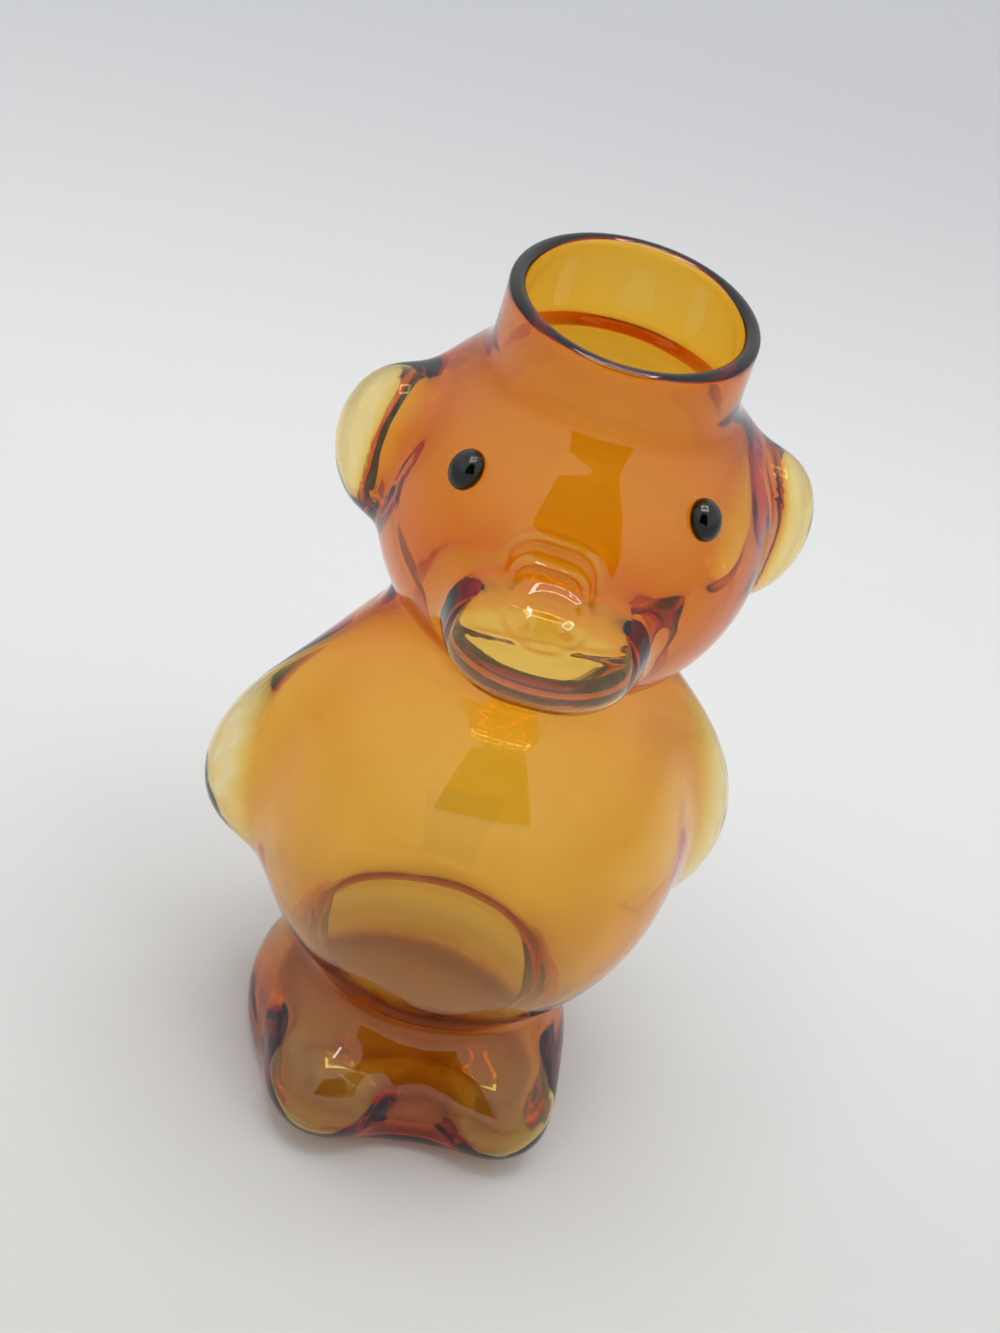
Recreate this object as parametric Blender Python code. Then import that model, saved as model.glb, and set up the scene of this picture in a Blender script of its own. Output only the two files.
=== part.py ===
"""A blown amber glass shaped like a standing bear, open at the top of its head.

Metres, +Z up, standing on z = 0. The bear looks towards -Y.

The vessel is one hollow piece of glass. Its outer surface is a soft union of rounded lumps
(lower body, belly, head, collar, ears, arms, feet and muzzle), and its inner surface follows it
one wall further in. Two glass eye beads sit on the head.
"""

from typing import Callable, NamedTuple

import bmesh
import bpy
import numpy as np

# The stack, from the floor up: half sizes of each swelling, and how far it sinks into the one below.
LOWER_HEIGHT = 0.0084
LOWER_FORWARD = 0.0016
LOWER_RADII = (0.0349, 0.0327, 0.0236)
WAIST_SINK = 0.0103
BELLY_RADII = (0.0440, 0.0440, 0.0488)
NECK_SINK = 0.0064
HEAD_FORWARD = 0.0015
HEAD_RADII = (0.0366, 0.0371, 0.0362)
COLLAR_RISE = 0.0087
COLLAR_RADIUS = 0.0230

# Lumps that stand out of the stack. Each pair nearly mirrors itself about X = 0: the lump at +X
# sits higher by its lift, the one at -X lower by it, and both are turned by their twist.
EAR_SINK = 0.0019
EAR_BACK = 0.0037
EAR_RISE = 0.0020
EAR_LIFT = -0.0018
EAR_RADII = (0.0110, 0.0105, 0.0159)
EAR_LEAN_DEG = 9.6
ARM_SINK = 0.0153
ARM_BACK = 0.0045
ARM_RISE = 0.0061
ARM_LIFT = 0.0011
ARM_RADII = (0.0230, 0.0138, 0.0311)
ARM_SPREAD_DEG = 32.0
ARM_TWIST_DEG = 5.6
FOOT_OUT = 0.0180
FOOT_SINK = 0.0047
FOOT_RISE = 0.0038
FOOT_RADII = (0.0130, 0.0131, 0.0096)

# The face, which was pressed a little out of true with the ears.
FACE_TURN_DEG = -9.0
MUZZLE_SINK = 0.0059
MUZZLE_DROP = 0.0055
MUZZLE_RADII = (0.0185, 0.0145, 0.0135)
MUZZLE_DIP_DEG = 5.4
RIGHT_EYE_OUT = 0.0212
RIGHT_EYE_RISE = 0.0181
LEFT_EYE_OUT = 0.0210
LEFT_EYE_RISE = 0.0204
EYE_HALF_WIDTH = 0.0032
EYE_HALF_HEIGHT = 0.0039
EYE_BULGE = 0.0022
EYE_EDGE = 0.0005

# How softly the lumps run into each other: at the crease, and at a lump's top where it's softer.
WAIST_FILLET = 0.0145
NECK_FILLET = 0.0090
COLLAR_FILLET = 0.0060
EAR_FILLET = 0.0042
EAR_TOP_FILLET = 0.0155
ARM_FILLET = 0.0109
ARM_TOP_FILLET = 0.0156
FOOT_FILLET = 0.0096
MUZZLE_FILLET = 0.0050
BRIDGE_FILLET = 0.0110
FLOOR_FILLET = 0.0052

# Walls. The glass is thinner by this share once a lump pushes it out of the stack by THIN_REACH.
RIM_WALL = 0.0030
RIM_DEPTH = 0.0060
COLLAR_WALL = 0.0028
HEAD_WALL = 0.0024
BELLY_WALL = 0.0022
LOWER_WALL = 0.0026
BASE_WALL = 0.0030
THINNED_SHARE = 0.6
THIN_REACH = 0.0060

# A bead's back follows the head at this distance, and slopes are measured over the other one.
SEAT_GAP = 0.0003
PROBE = 0.0001

# How square the lower body and the muzzle are, as shares of an ellipsoid's power.
ROUND_POWER = 2
LOWER_SQUARENESS_SHARE = 1.05
MUZZLE_SQUARENESS_SHARE = 1.2

# Mesh counts.
OUTER_RINGS = 60
INNER_RINGS = 42
SPOKES = 56
FRONT_CROWDING_SHARE = 0.3
SIDE_CROWDING_SHARE = 0.12
LIP_RINGS = 3
BEAD_SPOKES = 20
BEAD_RINGS = 5
MARCH_STEPS = 90
MARCH_SHARE = 0.8
RELAX_STEPS = 6

# Where the plain outline that the rings follow bends, as shares of the belly's and head's radii.
WAIST_SHARE = 0.8
CORNER_SHARE = 0.7
COLLAR_BASE_SHARE = 0.85


class Lump(NamedTuple):
    """A rounded body: its middle, half sizes, axes and power, and its fillets low and at its top."""

    centre: np.ndarray
    radii: np.ndarray
    axes: np.ndarray
    power: float
    fillet: float
    top_fillet: float


def turned(about_x: float = 0.0, about_y: float = 0.0, about_z: float = 0.0) -> np.ndarray:
    """The axes, in columns, of a frame turned by these degrees about X, then Y, then Z."""
    sines = np.sin(np.radians((about_x, about_y, about_z)))
    cosines = np.cos(np.radians((about_x, about_y, about_z)))
    tip = np.array(((1, 0, 0), (0, cosines[0], -sines[0]), (0, sines[0], cosines[0])))
    lean = np.array(((cosines[1], 0, sines[1]), (0, 1, 0), (-sines[1], 0, cosines[1])))
    turn = np.array(((cosines[2], -sines[2], 0), (sines[2], cosines[2], 0), (0, 0, 1)))
    return turn @ lean @ tip


def lump(centre, radii, axes=None, squareness_share=1.0, fillets=(0.0, 0.0)) -> Lump:
    """A lump in whole numpy arrays."""
    if axes is None:
        axes = np.eye(3)
    power = ROUND_POWER * squareness_share
    return Lump(np.array(centre), np.array(radii), axes, power, *fillets)


def pair(place, radii, fillets, lean_deg=0.0, lift=0.0, twist_deg=0.0) -> list[Lump]:
    """Two lumps on either side of X = 0, each leaning outwards at its top by lean_deg."""
    return [
        lump(
            (side * place[0], place[1], place[2] + side * lift),
            radii,
            turned(about_y=side * lean_deg + twist_deg),
            fillets=fillets,
        )
        for side in (-1, 1)
    ]


BELLY_HEIGHT = LOWER_HEIGHT + LOWER_RADII[2] + BELLY_RADII[2] - WAIST_SINK
HEAD_HEIGHT = BELLY_HEIGHT + BELLY_RADII[2] + HEAD_RADII[2] - NECK_SINK
TOTAL_HEIGHT = HEAD_HEIGHT + HEAD_RADII[2] + COLLAR_RISE

LOWER_MIDDLE = np.array((0, -LOWER_FORWARD, LOWER_HEIGHT))
BELLY_MIDDLE = np.array((0, 0, BELLY_HEIGHT))
HEAD_MIDDLE = np.array((0, -HEAD_FORWARD, HEAD_HEIGHT))
EAR_MIDDLE = HEAD_MIDDLE + (HEAD_RADII[0] - EAR_SINK, EAR_BACK, EAR_RISE)
ARM_MIDDLE = BELLY_MIDDLE + (BELLY_RADII[0] - ARM_SINK, ARM_BACK, ARM_RISE)
FOOT_MIDDLE = LOWER_MIDDLE + (FOOT_OUT, FOOT_SINK - LOWER_RADII[1], FOOT_RISE)

FACE_AXES = turned(about_z=FACE_TURN_DEG)
FACE_PIVOT = np.array((0, 0, HEAD_HEIGHT))
MUZZLE_REACH = HEAD_FORWARD + HEAD_RADII[1] - MUZZLE_SINK
MUZZLE_MIDDLE = FACE_PIVOT + FACE_AXES @ np.array((0, -MUZZLE_REACH, -MUZZLE_DROP))

LOWER = lump(LOWER_MIDDLE, LOWER_RADII, None, LOWER_SQUARENESS_SHARE)
BELLY = lump(BELLY_MIDDLE, BELLY_RADII)
HEAD = lump(HEAD_MIDDLE, HEAD_RADII)
EARS = pair(EAR_MIDDLE, EAR_RADII, (EAR_FILLET, EAR_TOP_FILLET), EAR_LEAN_DEG, EAR_LIFT)
ARMS = pair(
    ARM_MIDDLE, ARM_RADII, (ARM_FILLET, ARM_TOP_FILLET), -ARM_SPREAD_DEG, ARM_LIFT, ARM_TWIST_DEG
)
FEET = pair(FOOT_MIDDLE, FOOT_RADII, (FOOT_FILLET, FOOT_FILLET))
MUZZLE = lump(
    MUZZLE_MIDDLE,
    MUZZLE_RADII,
    FACE_AXES @ turned(about_x=MUZZLE_DIP_DEG),
    MUZZLE_SQUARENESS_SHARE,
    (MUZZLE_FILLET, BRIDGE_FILLET),
)


def smooth_step(low: float, high: float, values: np.ndarray) -> np.ndarray:
    """0 below low and 1 above high, with a smooth rise between them."""
    share = np.clip((values - low) / (high - low), 0, 1)
    return share * share * (3 - 2 * share)


def distance_to(points: np.ndarray, body: Lump) -> np.ndarray:
    """About how far points are outside a lump."""
    local = np.abs((points - body.centre) @ body.axes) / body.radii
    total = np.maximum((local**body.power).sum(-1), np.finfo(float).tiny)
    size = total ** (1 / body.power)
    slope = local ** (body.power - 1) / body.radii * (size / total)[..., None]
    return (size - 1) / np.linalg.norm(slope, axis=-1)


def blend(first: np.ndarray, second: np.ndarray, fillet: float | np.ndarray) -> np.ndarray:
    """The union of two distances, with a fillet where they meet."""
    near = np.maximum(fillet - np.abs(first - second), 0) / fillet
    return np.minimum(first, second) - near**3 * fillet / 6


def add_lump(whole: np.ndarray, points: np.ndarray, body: Lump) -> np.ndarray:
    """The distances to a shape with one more lump, whose fillet grows towards the lump's top."""
    top = smooth_step(0, body.radii[2], ((points - body.centre) @ body.axes)[..., 2])
    fillet = body.fillet + (body.top_fillet - body.fillet) * top
    return blend(whole, distance_to(points, body), fillet)


def stack(points: np.ndarray) -> np.ndarray:
    """How far points are outside the lower body, belly, head and collar."""
    across = np.hypot(points[..., 0], points[..., 1])
    collar = np.maximum(across - COLLAR_RADIUS, HEAD_HEIGHT - points[..., 2])
    whole = blend(distance_to(points, BELLY), distance_to(points, LOWER), WAIST_FILLET)
    whole = blend(whole, distance_to(points, HEAD), NECK_FILLET)
    return blend(whole, collar, COLLAR_FILLET)


def swollen(points: np.ndarray) -> np.ndarray:
    """How far points are outside the stack with its ears, arms, feet and muzzle."""
    whole = stack(points)
    for body in (*EARS, *ARMS, *FEET, MUZZLE):
        whole = add_lump(whole, points, body)
    return whole


def glass(points: np.ndarray) -> np.ndarray:
    """How far points are outside the glass, which stands flat on z = 0."""
    return -blend(-swollen(points), points[..., 2], FLOOR_FILLET)


def hollow(points: np.ndarray) -> np.ndarray:
    """How far points are outside the hollow, one wall inside the glass and above its base."""
    outside = swollen(points)
    height = points[..., 2]
    stops = (LOWER_HEIGHT, BELLY_HEIGHT, HEAD_HEIGHT, TOTAL_HEIGHT - COLLAR_RISE)
    plain = np.interp(height, stops, (LOWER_WALL, BELLY_WALL, HEAD_WALL, COLLAR_WALL))
    pushed = smooth_step(0, THIN_REACH, stack(points) - outside)
    wall = plain * (1 - THINNED_SHARE * pushed)
    rim = smooth_step(TOTAL_HEIGHT - RIM_DEPTH, TOTAL_HEIGHT - RIM_WALL / 2, height)
    wall = wall + (RIM_WALL - wall) * rim
    return -blend(-outside - wall, height - BASE_WALL, FLOOR_FILLET)


def slope_of(field: Callable[[np.ndarray], np.ndarray], points: np.ndarray) -> np.ndarray:
    """The unit direction in which a distance grows."""
    ways = np.eye(3) * PROBE
    slope = np.stack([field(points + way) - field(points - way) for way in ways], -1)
    return slope / np.linalg.norm(slope, axis=-1, keepdims=True)


def headings() -> np.ndarray:
    """The level directions of the spokes, closer together at the face, the ears and the arms."""
    even = np.linspace(0, 2 * np.pi, SPOKES, endpoint=False)
    angle = even - FRONT_CROWDING_SHARE * np.sin(even) + SIDE_CROWDING_SHARE * np.sin(2 * even)
    return np.stack((np.sin(angle), -np.cos(angle), 0 * angle), -1)


def aim_lines(rings: int) -> tuple[np.ndarray, np.ndarray]:
    """For each ring, a height on the axis to look from and a point (radius, height) to look at.

    The heights looked from pause in the middle of each swelling, and the points looked at run up
    a plain turned outline of the stack, so that no two rings cross.
    """
    lower_side, lower_depth, lower_rise = LOWER_RADII
    belly_side, _, belly_rise = BELLY_RADII
    head_side, _, head_rise = HEAD_RADII
    waist = BELLY_HEIGHT - WAIST_SHARE * belly_rise
    neck = (BELLY_HEIGHT + belly_rise + HEAD_HEIGHT - head_rise) / 2
    collar_base = HEAD_HEIGHT + COLLAR_BASE_SHARE * head_rise
    corner_side = CORNER_SHARE * belly_side
    corner_rise = CORNER_SHARE * belly_rise
    cheek_side = CORNER_SHARE * head_side
    cheek_rise = CORNER_SHARE * head_rise
    stops = (
        (0, 0, LOWER_HEIGHT),
        (lower_depth, 0, LOWER_HEIGHT),
        (lower_side, LOWER_HEIGHT, LOWER_HEIGHT),
        (lower_depth, waist, waist),
        (corner_side, BELLY_HEIGHT - corner_rise, BELLY_HEIGHT),
        (belly_side, BELLY_HEIGHT, BELLY_HEIGHT),
        (corner_side, BELLY_HEIGHT + corner_rise, BELLY_HEIGHT),
        (COLLAR_RADIUS, neck, neck),
        (cheek_side, HEAD_HEIGHT - cheek_rise, HEAD_HEIGHT),
        (head_side, HEAD_HEIGHT, HEAD_HEIGHT),
        (cheek_side, HEAD_HEIGHT + cheek_rise, HEAD_HEIGHT),
        (COLLAR_RADIUS, collar_base, collar_base),
        (COLLAR_RADIUS, TOTAL_HEIGHT - RIM_WALL / 2, TOTAL_HEIGHT - RIM_WALL / 2),
    )
    radii, heights, looks = np.array(stops).T
    run = np.hypot(np.diff(radii), np.diff(heights))
    along = np.concatenate(((0,), np.cumsum(run)))
    here = np.linspace(0, along[-1], rings)
    target = np.stack((np.interp(here, along, radii), np.interp(here, along, heights)), -1)
    return np.interp(here, along, looks), target


def skin(field: Callable[[np.ndarray], np.ndarray], rings: int, rim_radius: float) -> np.ndarray:
    """Rings of points on a field's zero surface, from the middle of its floor up to the rim."""
    focus, target = aim_lines(rings)
    heading = headings()
    start = np.zeros((rings, 1, 3))
    start[:, 0, 2] = focus
    upward = np.array((0, 0, 1))
    way = target[:, :1, None] * heading + (target[:, 1] - focus)[:, None, None] * upward
    way = way / np.linalg.norm(way, axis=-1, keepdims=True)
    reach = np.full(way.shape[:2], TOTAL_HEIGHT / 2)
    for _ in range(MARCH_STEPS):
        reach = reach - field(start + way * reach[..., None]) * MARCH_SHARE
    points = start + way * reach[..., None]
    points[0] = points[0].mean(0)
    points[-1] = heading * rim_radius + upward * (TOTAL_HEIGHT - RIM_WALL / 2)
    for _ in range(RELAX_STEPS):
        around = (np.roll(points, 1, 1) + np.roll(points, -1, 1))[1:-1]
        middle = (around + points[:-2] + points[2:]) / 4
        inner = (points[1:-1] + middle) / 2
        inner = inner - slope_of(field, inner) * field(inner)[..., None]
        points[1:-1] = inner
    return points


def lip() -> np.ndarray:
    """The rings of the fire-polished rim, a half round from the outer wall to the inner one."""
    half = RIM_WALL / 2
    bend = np.linspace(0, np.pi, LIP_RINGS + 2)[1:-1]
    radius = COLLAR_RADIUS - half + half * np.cos(bend)
    height = TOTAL_HEIGHT - half + half * np.sin(bend)
    return headings() * radius[:, None, None] + np.array((0, 0, 1)) * height[:, None, None]


def closed_mesh(name: str, rings: np.ndarray) -> bpy.types.Object:
    """An object skinned over rings of points, whose first and last rings are single points."""
    count, spokes = rings.shape[:2]
    mesh = bmesh.new()
    first = mesh.verts.new(rings[0, 0])
    last = mesh.verts.new(rings[-1, 0])
    loops = [[mesh.verts.new(point) for point in ring] for ring in rings[1:-1]]
    for spoke in range(spokes):
        after = (spoke + 1) % spokes
        mesh.faces.new((first, loops[0][after], loops[0][spoke]))
        mesh.faces.new((last, loops[-1][spoke], loops[-1][after]))
        for below, above in zip(loops, loops[1:]):
            mesh.faces.new((below[spoke], below[after], above[after], above[spoke]))
    bmesh.ops.recalc_face_normals(mesh, faces=mesh.faces)
    data = bpy.data.meshes.new(name)
    mesh.to_mesh(data)
    mesh.free()
    data.shade_smooth()
    piece = bpy.data.objects.new(name, data)
    bpy.context.scene.collection.objects.link(piece)
    return piece


def coat(piece: bpy.types.Object, colour: tuple, roughness: float) -> None:
    """Gives a piece its own plain glass."""
    material = bpy.data.materials.new(piece.name)
    material.use_nodes = True
    shader = material.node_tree.nodes["Principled BSDF"]
    shader.inputs["Base Color"].default_value = (*colour, 1)
    shader.inputs["Roughness"].default_value = roughness
    shader.inputs["Metallic"].default_value = 0
    piece.data.materials.append(material)


def glass_body() -> None:
    """The hollow vessel: outer skin, lip and inner skin in one closed surface."""
    outer = skin(glass, OUTER_RINGS, COLLAR_RADIUS)
    inner = skin(hollow, INNER_RINGS, COLLAR_RADIUS - RIM_WALL)
    piece = closed_mesh("glass_body", np.concatenate((outer, lip(), inner[::-1])))
    coat(piece, (0.60, 0.25, 0.04), 0.05)


def eye(name: str, across_face: float, rise_on_face: float) -> None:
    """A domed glass bead whose back follows the head.

    The bead's middle is where a line through the face, this far across and this far above the
    head's middle, meets the head.
    """
    forward = FACE_AXES @ np.array((0, -1, 0))
    middle = FACE_PIVOT + FACE_AXES @ np.array((across_face, 0, rise_on_face))
    middle = middle + forward * HEAD_RADII[1]
    for _ in range(MARCH_STEPS):
        middle = middle - forward * glass(middle)
    outward = slope_of(glass, middle)
    across = np.cross(outward, np.array((0, 0, 1)))
    across = across / np.linalg.norm(across)
    rise = np.cross(across, outward)
    angle = np.linspace(0, 2 * np.pi, BEAD_SPOKES, endpoint=False)
    share = np.sin(np.linspace(0, np.pi / 2, BEAD_RINGS + 1))[:, None]
    sideways = (share * np.cos(angle))[..., None] * across * EYE_HALF_WIDTH
    upward = (share * np.sin(angle))[..., None] * rise * EYE_HALF_HEIGHT
    back = middle + sideways + upward + outward * SEAT_GAP
    for _ in range(MARCH_STEPS):
        back = back - outward * (glass(back) - SEAT_GAP)[..., None]
    depth = EYE_EDGE + EYE_BULGE * np.sqrt(1 - share**2)
    front = back + outward * depth[..., None]
    piece = closed_mesh(name, np.concatenate((back, front[::-1])))
    coat(piece, (0.02, 0.05, 0.04), 0.03)


def main() -> None:
    """Clears the scene and builds every piece."""
    for thing in list(bpy.data.objects):
        bpy.data.objects.remove(thing)
    glass_body()
    eye("right_eye", -RIGHT_EYE_OUT, RIGHT_EYE_RISE)
    eye("left_eye", LEFT_EYE_OUT, LEFT_EYE_RISE)


main()
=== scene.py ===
"""The looks of a blown amber glass shaped like a standing bear, in a white studio.

Metres, +Z up, standing on z = 0, and the bear looks towards -Y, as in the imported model.
The vessel is one closed surface of glass: an outer skin, a fire-polished lip and an inner skin.
Each skin is where a smooth distance field is zero, and the field is a soft union of rounded lumps.
"""

import logging
from dataclasses import dataclass, field
from enum import Enum
from typing import Callable

import bpy
import numpy as np
from mathutils import Matrix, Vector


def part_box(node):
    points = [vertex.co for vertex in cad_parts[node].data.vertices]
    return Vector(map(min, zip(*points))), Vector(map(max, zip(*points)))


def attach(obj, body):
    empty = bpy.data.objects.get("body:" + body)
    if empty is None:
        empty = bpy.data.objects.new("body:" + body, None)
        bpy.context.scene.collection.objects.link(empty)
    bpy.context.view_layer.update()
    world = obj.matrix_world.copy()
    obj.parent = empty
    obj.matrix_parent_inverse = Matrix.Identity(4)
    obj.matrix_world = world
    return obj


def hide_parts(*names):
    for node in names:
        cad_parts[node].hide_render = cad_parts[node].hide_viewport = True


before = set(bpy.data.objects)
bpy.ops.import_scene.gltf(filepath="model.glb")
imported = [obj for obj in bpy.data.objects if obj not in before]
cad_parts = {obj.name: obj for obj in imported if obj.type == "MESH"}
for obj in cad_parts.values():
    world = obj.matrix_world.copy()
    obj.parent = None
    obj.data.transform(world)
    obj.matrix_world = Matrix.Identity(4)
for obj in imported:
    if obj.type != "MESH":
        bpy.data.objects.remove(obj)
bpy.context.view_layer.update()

log = logging.getLogger("bear_glass")

Field = Callable[[np.ndarray], np.ndarray]

UP = np.array((0.0, 0.0, 1.0))
FORWARD = np.array((0.0, -1.0, 0.0))


class Side(Enum):
    """The bear's own sides, as the sign of X."""

    RIGHT = -1
    LEFT = 1


class Socket(Enum):
    """Which way a node group's socket leads."""

    INPUT = "INPUT"
    OUTPUT = "OUTPUT"


def turned(about_x: float = 0.0, about_y: float = 0.0, about_z: float = 0.0) -> np.ndarray:
    """Axes turned about X, then Y, then Z.

    Args:
        about_x: Turn about X, in degrees.
        about_y: Turn about Y, in degrees.
        about_z: Turn about Z, in degrees.

    Returns:
        A 3 by 3 array whose columns are the turned axes.
    """
    sines = np.sin(np.radians((about_x, about_y, about_z)))
    cosines = np.cos(np.radians((about_x, about_y, about_z)))
    tip = np.array(((1, 0, 0), (0, cosines[0], -sines[0]), (0, sines[0], cosines[0])))
    lean = np.array(((cosines[1], 0, sines[1]), (0, 1, 0), (-sines[1], 0, cosines[1])))
    turn = np.array(((cosines[2], -sines[2], 0), (sines[2], cosines[2], 0), (0, 0, 1)))
    return turn @ lean @ tip


def smooth_step(low: float, high: float, values: np.ndarray) -> np.ndarray:
    """0 below low and 1 above high, along the curve 3t squared less 2t cubed between them.

    Args:
        low: Where the step starts.
        high: Where the step ends.
        values: The numbers to turn into shares.

    Returns:
        The shares, from 0 to 1.
    """
    share = np.clip((values - low) / (high - low), 0, 1)
    return share * share * (3 - 2 * share)


def joined(first: np.ndarray, second: np.ndarray, fillet: float | np.ndarray) -> np.ndarray:
    """The union of two distances with a rounded inner corner.

    The lesser distance is lowered by the fillet times a sixth of the cube of how near the two are.
    A cube leaves no jump in curvature, which glass would show as a kink in its reflections.

    Args:
        first: Distances to one body.
        second: Distances to the other.
        fillet: How near the two distances have to be before they melt together, in metres.

    Returns:
        Distances to both bodies as one.
    """
    near = np.maximum(fillet - np.abs(first - second), 0) / fillet
    return np.minimum(first, second) - near**3 * fillet / 6


def slope_of(surface: Field, points: np.ndarray, probe: float = 0.00005) -> np.ndarray:
    """The unit direction in which a field grows, from differences across a small probe.

    Args:
        surface: Gives a distance for each point.
        points: Where to measure.
        probe: Half the length that each difference spans, in metres.

    Returns:
        One unit vector for each point.
    """
    ways = np.eye(3) * probe
    slope = np.stack([surface(points + way) - surface(points - way) for way in ways], -1)
    return slope / np.linalg.norm(slope, axis=-1, keepdims=True)


def new_piece(
    name: str, points: np.ndarray, faces: list[np.ndarray], finish: bpy.types.Material
) -> bpy.types.Object:
    """Puts a smooth mesh with one finish into the scene.

    Args:
        name: The object's name.
        points: One row for each vertex, in metres.
        faces: Arrays with a row of vertex numbers for each face, anticlockwise from outside.
        finish: The material that the piece takes.

    Returns:
        The new object, at the origin.
    """
    mesh = bpy.data.meshes.new(name)
    mesh.from_pydata(points.tolist(), [], [face for group in faces for face in group.tolist()])
    mesh.validate()
    mesh.shade_smooth()
    mesh.materials.append(finish)
    piece = bpy.data.objects.new(name, mesh)
    bpy.context.scene.collection.objects.link(piece)
    return piece


def closed_net(name: str, rings: np.ndarray, finish: bpy.types.Material) -> bpy.types.Object:
    """Closes a stack of rings into one piece.

    Args:
        name: The object's name.
        rings: An array of rings by spokes by 3. The first and the last ring are each one point,
            and seen from the last ring's end, the others turn anticlockwise.
        finish: The material that the piece takes.

    Returns:
        The new object, at the origin.
    """
    count, spokes, _ = rings.shape
    points = np.concatenate((rings[:1, 0], rings[1:-1].reshape(-1, 3), rings[-1:, 0]))
    number = 1 + np.arange((count - 2) * spokes).reshape(count - 2, spokes)
    after = np.roll(number, -1, 1)
    sides = np.stack((number[:-1], after[:-1], after[1:], number[1:]), -1).reshape(-1, 4)
    first = np.stack((0 * number[0], after[0], number[0]), -1)
    last = np.stack((0 * number[-1] + len(points) - 1, number[-1], after[-1]), -1)
    return new_piece(name, points, [first, sides, last], finish)


def new_sheet(name: str, corners: list[tuple], finish: bpy.types.Material) -> bpy.types.Object:
    """Puts flat faces with four corners each into the scene.

    Args:
        name: The object's name.
        corners: The corners, four after four, in metres.
        finish: The material that the sheet takes.

    Returns:
        The new object, at the origin.
    """
    faces = np.arange(len(corners)).reshape(-1, 4)
    return new_piece(name, np.array(corners), [faces], finish)


@dataclass(frozen=True)
class Lump:
    """A rounded body that the glass swells over.

    Attributes:
        centre: Its middle, in metres.
        radii: Its half sizes along its own axes, in metres.
        axes: Its own axes, in columns.
        power: 2 for an ellipsoid, and more for a squarer body.
        fillet: How near the rest of the glass melts into its lower half, in metres.
        top_fillet: The same at its top, in metres.
        thinning: How far it pushes the glass out before the wall is at its thinnest, in metres.
        fold: How much of the fillet round its lower half gathers as extra glass, as a share.
    """

    centre: np.ndarray
    radii: np.ndarray
    axes: np.ndarray
    power: float = 2.0
    fillet: float = 0.0
    top_fillet: float = 0.0
    thinning: float = 0.0
    fold: float = 0.0

    def local(self, points: np.ndarray) -> np.ndarray:
        """The points in the body's own axes, from its middle."""
        return (points - self.centre) @ self.axes

    def distance(self, points: np.ndarray) -> np.ndarray:
        """About how far points lie outside the body.

        With s the sum of each share of a half size raised to the power, the body's size at a point
        is the root of s, and the distance is that size less 1, over the length of its slope.

        Args:
            points: Where to measure.

        Returns:
            The distances, below zero inside.
        """
        share = np.abs(self.local(points)) / self.radii
        rest = share if self.power == 2 else share ** (self.power - 1)
        total = np.maximum((rest * share).sum(-1), np.finfo(float).tiny)
        size = total ** (1 / self.power)
        slope = rest / self.radii * (size / total)[..., None]
        return (size - 1) / np.linalg.norm(slope, axis=-1)

    def topness(self, points: np.ndarray) -> np.ndarray:
        """0 in the body's lower half, growing to 1 at its top."""
        return smooth_step(0, self.radii[2], self.local(points)[..., 2])

    def melt(self, points: np.ndarray) -> np.ndarray:
        """How far the body melts into the rest at each point, from its lower half to its top."""
        return self.fillet + (self.top_fillet - self.fillet) * self.topness(points)


@dataclass
class PairSizes:
    """Two lumps that nearly mirror each other about X = 0, in metres and degrees.

    Attributes:
        place: The middle of the one at +X, from the middle of the body that they sit on.
        radii: Their half sizes.
        lean: How far each one's top leans outwards.
        fillet: How near the rest melts into their lower halves.
        top_fillet: The same at their tops.
        thinning: How far they push the glass out before its wall is at its thinnest.
        lift: How much higher the one at +X sits, and the other lower.
        twist: How much further both turn clockwise, seen from the front.
        fold: How much of the fillet round their lower halves gathers as extra glass, as a share.
    """

    place: tuple
    radii: tuple
    lean: float
    fillet: float
    top_fillet: float
    thinning: float
    lift: float = 0.0
    twist: float = 0.0
    fold: float = 0.0

    def lump(self, base: np.ndarray, side: Side) -> Lump:
        """One of the two lumps.

        Args:
            base: The middle of the body that they sit on.
            side: Which of the two.

        Returns:
            The lump on that side.
        """
        sign = side.value
        return Lump(
            base + np.array(self.place) * (sign, 1, 1) + sign * self.lift * UP,
            np.array(self.radii),
            turned(about_y=sign * self.lean + self.twist),
            fillet=self.fillet,
            top_fillet=self.top_fillet,
            thinning=self.thinning,
            fold=self.fold,
        )

    def lumps(self, base: np.ndarray) -> list[Lump]:
        """Both lumps, the one at -X first."""
        return [self.lump(base, side) for side in Side]


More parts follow.
